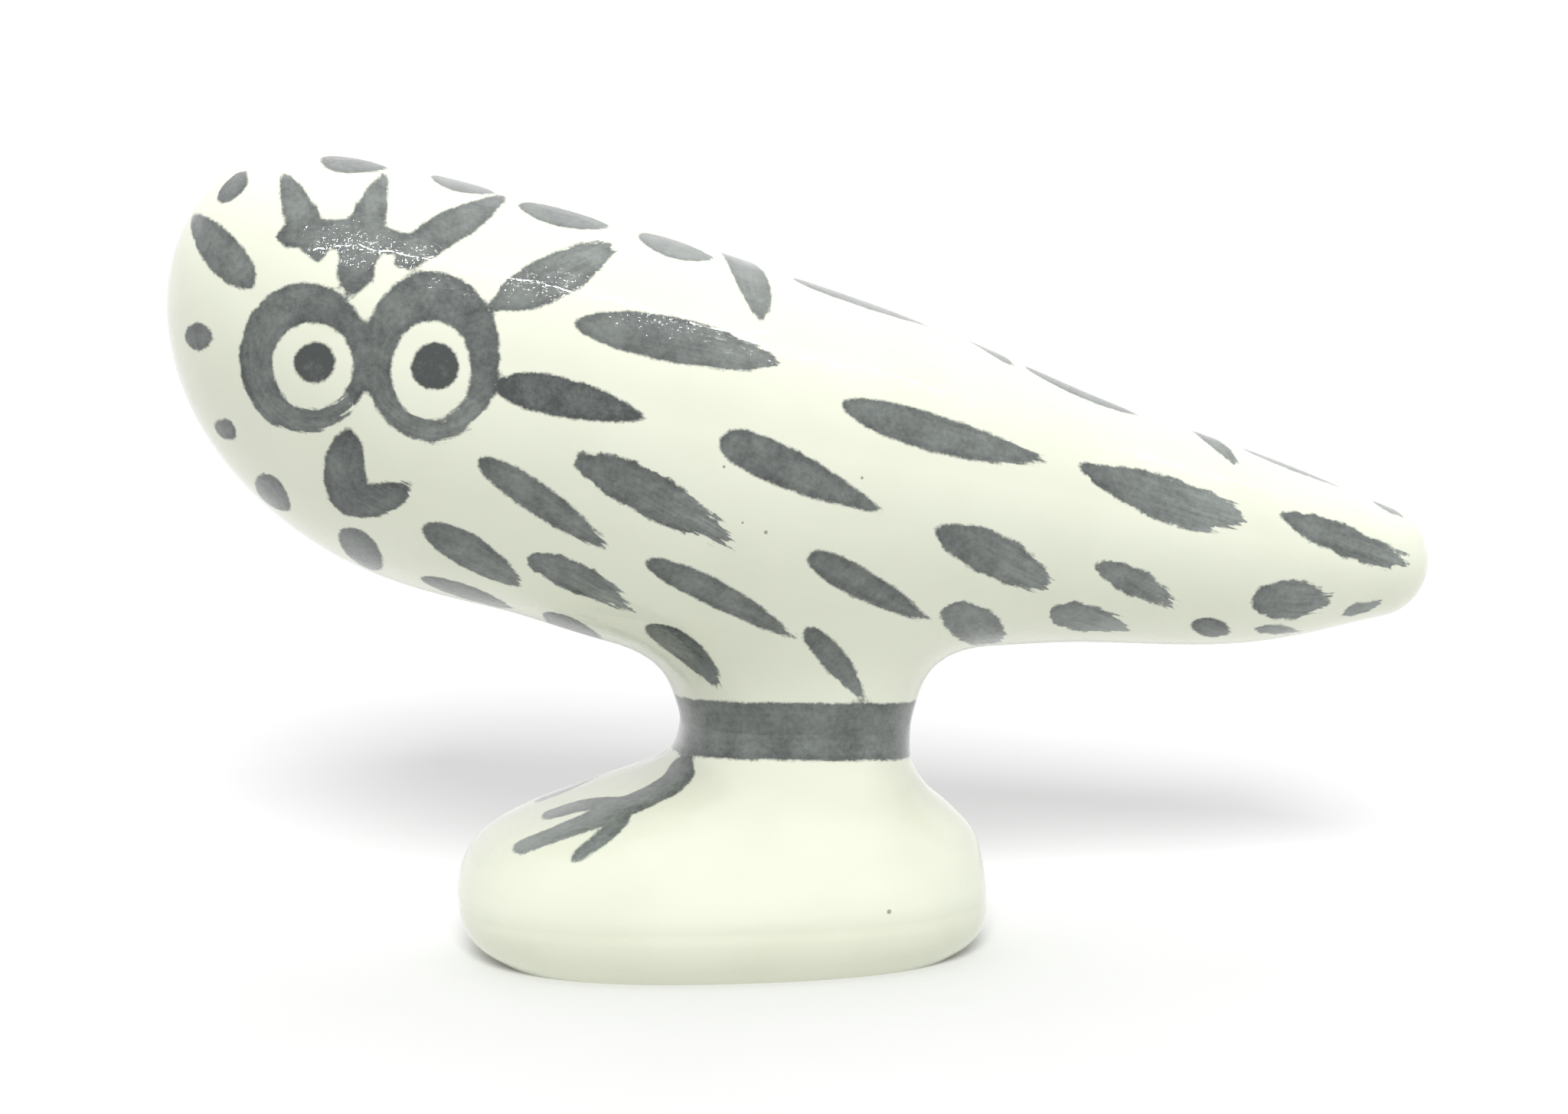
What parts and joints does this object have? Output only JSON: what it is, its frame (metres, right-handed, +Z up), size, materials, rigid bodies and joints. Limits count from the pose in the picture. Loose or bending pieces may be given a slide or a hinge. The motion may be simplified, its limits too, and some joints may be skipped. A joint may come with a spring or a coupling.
{
  "type": "owl figurine",
  "caption": "Hollow glazed ceramic owl with its tail stretched out behind, standing on one flared foot, with brush-painted face and feather marks.",
  "frame": {"origin": "middle of the foot's resting face", "axes": "+Z up; +X towards the tail; the painted face looks towards -Y, which is the owl's left"},
  "size_m": [0.1104, 0.0342, 0.0709],
  "materials": {
    "glazed_shell": "clear gloss glaze over an ivory body",
    "bisque_slab": "glazed rim, matt unglazed underside",
    "joining_slip": "matt fired slip, hidden in the joint",
    "face_paint": "grey-green brushed underglaze under clear gloss",
    "leg_paint": "grey-green brushed underglaze under clear gloss",
    "feather_paint": "grey brushed underglaze under clear gloss"
  },
  "bodies": {
    "root": {"ankle_band": "leg_paint", "ankle_joint_slip": "joining_slip", "back_feather_01": "feather_paint", "back_feather_02": "feather_paint", "back_feather_03": "feather_paint", "back_feather_04": "feather_paint", "back_feather_05": "feather_paint", "back_feather_06": "feather_paint", "back_feather_07": "feather_paint", "back_feather_08": "feather_paint", "back_feather_09": "feather_paint", "back_feather_10": "feather_paint", "back_feather_11": "feather_paint", "base_joint_slip": "joining_slip", "base_plate": "bisque_slab", "beak_mark": "face_paint", "body_shell": "glazed_shell", "crown_mark": "face_paint", "eye_rings": "face_paint", "flank_feather_01": "feather_paint", "flank_feather_02": "feather_paint", "flank_feather_03": "feather_paint", "flank_feather_04": "feather_paint", "flank_feather_05": "feather_paint", "flank_feather_06": "feather_paint", "flank_feather_07": "feather_paint", "flank_feather_08": "feather_paint", "flank_feather_09": "feather_paint", "flank_feather_10": "feather_paint", "flank_feather_11": "feather_paint", "flank_feather_12": "feather_paint", "flank_feather_13": "feather_paint", "flank_feather_14": "feather_paint", "flank_feather_15": "feather_paint", "flank_feather_16": "feather_paint", "flank_feather_17": "feather_paint", "flank_feather_18": "feather_paint", "flank_feather_19": "feather_paint", "flank_feather_20": "feather_paint", "flank_feather_21": "feather_paint", "flank_feather_22": "feather_paint", "flank_feather_23": "feather_paint", "flank_feather_24": "feather_paint", "flank_feather_25": "feather_paint", "foot_shell": "glazed_shell", "head_feather_01": "feather_paint", "head_feather_02": "feather_paint", "head_feather_03": "feather_paint", "head_feather_04": "feather_paint", "head_feather_05": "feather_paint", "head_feather_06": "feather_paint", "left_leg_mark": "leg_paint", "left_pupil": "face_paint", "right_leg_mark": "leg_paint", "right_pupil": "face_paint"}
  },
  "joints": []
}
